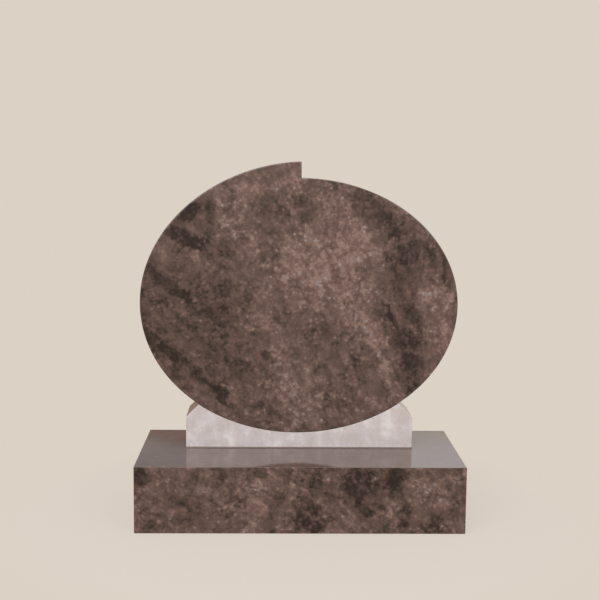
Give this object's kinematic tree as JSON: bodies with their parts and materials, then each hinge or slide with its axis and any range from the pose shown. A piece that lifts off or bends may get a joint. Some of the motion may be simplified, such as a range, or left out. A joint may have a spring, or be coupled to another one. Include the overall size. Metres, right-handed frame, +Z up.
{
  "type": "oval headstone",
  "caption": "Upright oval headstone with a stepped spiral outline, resting in a pale stone cradle on a rectangular base block.",
  "frame": {"origin": "middle of the base block's underside", "axes": "+Z up, the tablet's front faces -Y, +X to the right of someone reading the stone"},
  "size_m": [0.7537, 0.36, 0.8357],
  "materials": {
    "brown_granite": "polished, medium-grained brown granite with dark flow bands",
    "light_stone": "honed, fine-grained pinkish-grey stone"
  },
  "bodies": {
    "root": {"base_block": "brown_granite", "cradle": "light_stone", "oval_tablet": "brown_granite"}
  },
  "joints": []
}
